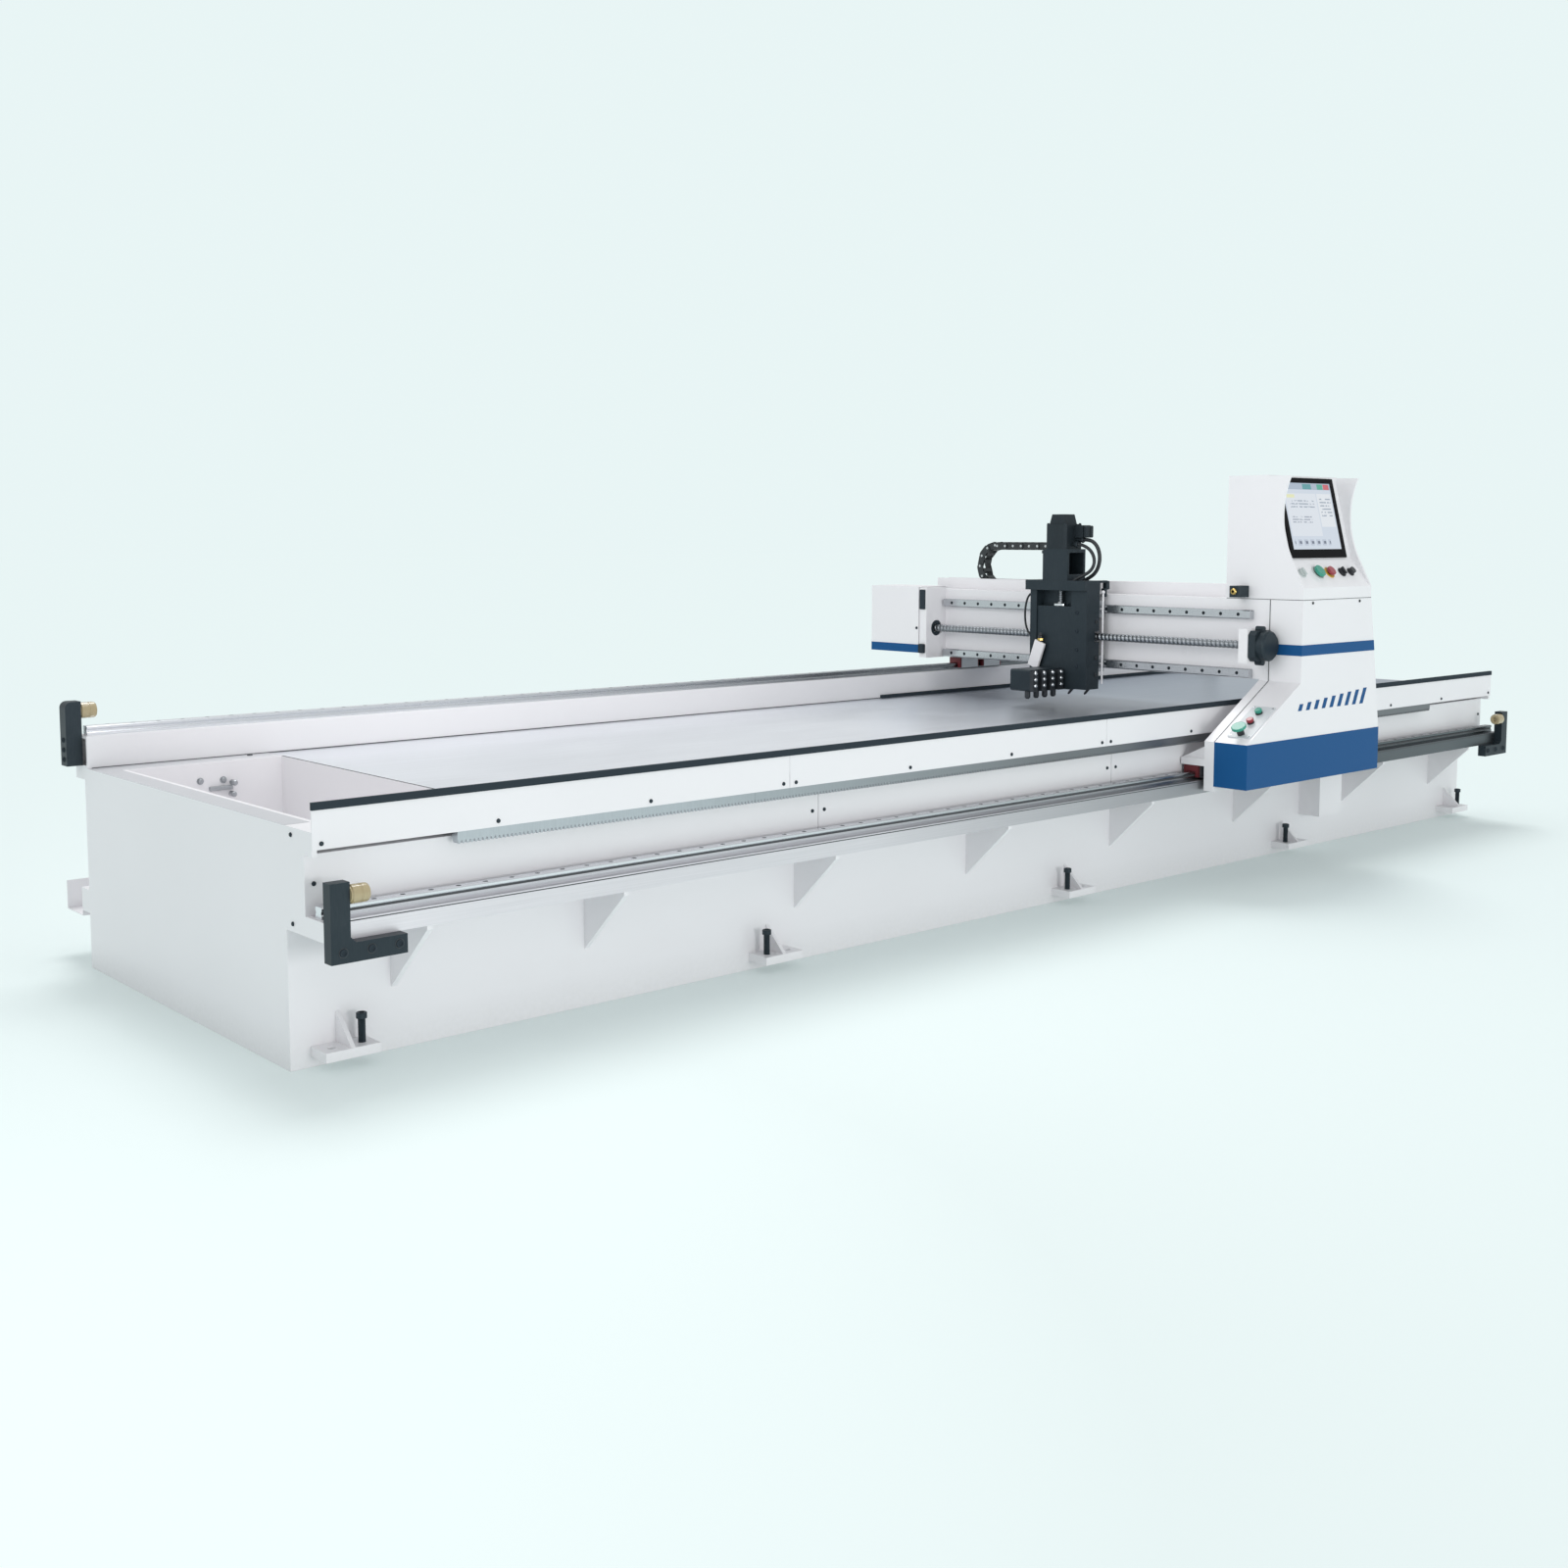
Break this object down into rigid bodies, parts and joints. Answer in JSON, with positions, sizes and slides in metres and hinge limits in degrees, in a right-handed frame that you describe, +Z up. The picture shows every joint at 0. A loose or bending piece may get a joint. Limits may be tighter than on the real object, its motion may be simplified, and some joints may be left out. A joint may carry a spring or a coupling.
{
  "type": "v-grooving machine",
  "caption": "Gantry type V-grooving machine for sheet metal: long bed with a steel table, rack-driven gantry, cross carriage with a tool slide, and a console with a screen.",
  "frame": {"origin": "on the floor, below the middle of the machine's box", "axes": "X along the bed, to the gantry's parking side; Y from the operator's side to the back; Z up"},
  "size_m": [6.096, 2.2, 1.57],
  "materials": {
    "white_paint": "semi-gloss white powder coat",
    "panel_grey": "satin light grey plate",
    "blue_paint": "semi-gloss blue powder coat",
    "table_steel": "ground steel plate",
    "ledge_steel": "milled steel",
    "rail_steel": "hardened and ground steel",
    "rack_steel": "milled gear steel",
    "screw_steel": "rolled screw steel",
    "carriage_steel": "ground steel block",
    "tool_steel": "dark tool steel",
    "black_rubber": "black rubber strip",
    "black_paint": "black oxide and paint",
    "motor_black": "black anodised motor housing",
    "seal_red": "dark red seal",
    "buffer_beige": "polyurethane buffer",
    "bezel_black": "black glass-like frame",
    "screen_face": "lit screen face",
    "chain_black": "black nylon links",
    "cable_black": "black cable jacket",
    "button_green": "green button cap",
    "button_red": "red button cap",
    "switch_white": "pale selector",
    "switch_black": "black selector"
  },
  "bodies": {
    "bed": {"bed_side_walls": "white_paint", "bed_end_plates": "white_paint", "cross_ribs": "white_paint", "well_tub": "white_paint", "work_table": "table_steel", "front_beam": "white_paint", "front_panels": "white_paint", "rubber_strips": "black_rubber", "front_ledge": "ledge_steel", "ledge_supports": "white_paint", "panel_screws": "black_paint", "bed_rails": "rail_steel", "rear_beam": "white_paint", "gear_rack": "rack_steel", "stop_brackets": "black_paint", "stop_bumpers": "buffer_beige", "foot_brackets": "white_paint", "levelling_bolts": "black_paint", "rear_cable_tray": "white_paint"},
    "gantry": {"gantry_beam": "white_paint", "beam_rails": "rail_steel", "front_leg": "white_paint", "gantry_carriages": "carriage_steel", "carriage_seals": "seal_red", "screw_bearings": "white_paint", "screw_end_cap": "black_paint", "rear_cover": "white_paint", "drive_motors": "motor_black", "cabinet_shell": "white_paint", "cabinet_skirt": "blue_paint", "blue_bands": "blue_paint", "button_plate": "panel_grey", "console_head": "white_paint", "screen_frame": "bezel_black", "screen_display": "screen_face", "beam_stop_block": "black_paint", "chain_guides": "white_paint", "x_chain_upper": "chain_black"},
    "pinion": {"rack_pinion": "rack_steel"},
    "cross_drive": {"cross_screw": "screw_steel"},
    "carriage": {"carriage_saddle": "black_paint", "carriage_runners": "carriage_steel", "motor_tower": "black_paint", "z_servo_motor": "motor_black", "motor_cable": "cable_black", "y_chain_upper": "chain_black"},
    "z_drive": {"z_screw": "screw_steel"},
    "tool_head": {"tool_slide": "black_paint", "tool_block": "black_paint", "grooving_tools": "tool_steel"},
    "y_chain_bend": {"y_chain": "chain_black"},
    "x_chain_bend": {"x_chain": "chain_black"},
    "selector_switch": {"console_selector": "switch_white"},
    "start_push": {"console_start_button": "button_green"},
    "emergency_push": {"console_emergency_stop": "button_red"},
    "mode_turn": {"console_mode_switch": "switch_black"},
    "override_turn": {"console_override_knob": "switch_black"},
    "panel_start_push": {"panel_start_button": "button_green"},
    "panel_stop_push": {"panel_stop_button": "button_red"},
    "panel_feed_push": {"panel_feed_button": "button_green"}
  },
  "joints": [
    {"name": "gantry_slide", "type": "slide", "parent": "bed", "child": "gantry", "axis": [1, 0, 0], "range_m": [-3.44, 1.34]},
    {"name": "pinion_spin", "type": "hinge", "parent": "gantry", "child": "pinion", "pos_m": [1.06, -0.834, 0.505], "axis": [0, 1, 0], "continuous": true},
    {"name": "carriage_slide", "type": "slide", "parent": "gantry", "child": "carriage", "axis": [0, 1, 0], "range_m": [-0.56, 0.515]},
    {"name": "cross_screw_spin", "type": "hinge", "parent": "gantry", "child": "cross_drive", "pos_m": [0.878, 0, 0.914], "axis": [0, 1, 0], "continuous": true},
    {"name": "tool_travel", "type": "slide", "parent": "carriage", "child": "tool_head", "axis": [0, 0, 1], "range_m": [-0.03, 0.05]},
    {"name": "z_screw_spin", "type": "hinge", "parent": "carriage", "child": "z_drive", "pos_m": [0.831, -0.016, 0.9], "axis": [0, 0, 1], "continuous": true},
    {"name": "y_chain_travel", "type": "slide", "parent": "carriage", "child": "y_chain_bend", "axis": [0, 1, 0], "range_m": [-0.2575, 0.28], "deforming": ["y_chain_upper"]},
    {"name": "x_chain_travel", "type": "slide", "parent": "gantry", "child": "x_chain_bend", "axis": [1, 0, 0], "range_m": [-0.67, 1.72], "deforming": ["x_chain_upper"]},
    {"name": "selector_turn", "type": "hinge", "parent": "gantry", "child": "selector_switch", "pos_m": [0.996, -1.055, 1.192], "axis": [0, -0.7809, 0.6247], "range_deg": [-45, 45]},
    {"name": "mode_switch_turn", "type": "hinge", "parent": "gantry", "child": "mode_turn", "pos_m": [1.285, -1.055, 1.192], "axis": [0, -0.7809, 0.6247], "range_deg": [-45, 45]},
    {"name": "override_knob_turn", "type": "hinge", "parent": "gantry", "child": "override_turn", "pos_m": [1.349, -1.055, 1.192], "axis": [0, -0.7809, 0.6247], "range_deg": [-135, 135]},
    {"name": "start_press", "type": "slide", "parent": "gantry", "child": "start_push", "axis": [0, 0.7809, -0.6247], "range_m": [0, 0.006], "stiffness_N_per_m": 700, "springref_m": -0.003},
    {"name": "emergency_press", "type": "slide", "parent": "gantry", "child": "emergency_push", "axis": [0, 0.7809, -0.6247], "range_m": [0, 0.006], "stiffness_N_per_m": 700, "springref_m": -0.003},
    {"name": "panel_start_press", "type": "slide", "parent": "gantry", "child": "panel_start_push", "axis": [0.5102, 0, -0.8601], "range_m": [0, 0.006], "stiffness_N_per_m": 700, "springref_m": -0.003},
    {"name": "panel_stop_press", "type": "slide", "parent": "gantry", "child": "panel_stop_push", "axis": [0.5102, 0, -0.8601], "range_m": [0, 0.004], "stiffness_N_per_m": 700, "springref_m": -0.003},
    {"name": "panel_feed_press", "type": "slide", "parent": "gantry", "child": "panel_feed_push", "axis": [0.5102, 0, -0.8601], "range_m": [0, 0.004], "stiffness_N_per_m": 700, "springref_m": -0.003}
  ],
  "couplings": [
    {"joint": "pinion_spin", "follows": "gantry_slide", "rad_per_m": -20.833},
    {"joint": "x_chain_travel", "follows": "gantry_slide", "ratio": -0.5},
    {"joint": "cross_screw_spin", "follows": "carriage_slide", "rad_per_m": 314.16},
    {"joint": "y_chain_travel", "follows": "carriage_slide", "ratio": -0.5},
    {"joint": "z_screw_spin", "follows": "tool_travel", "rad_per_m": 628.32}
  ]
}
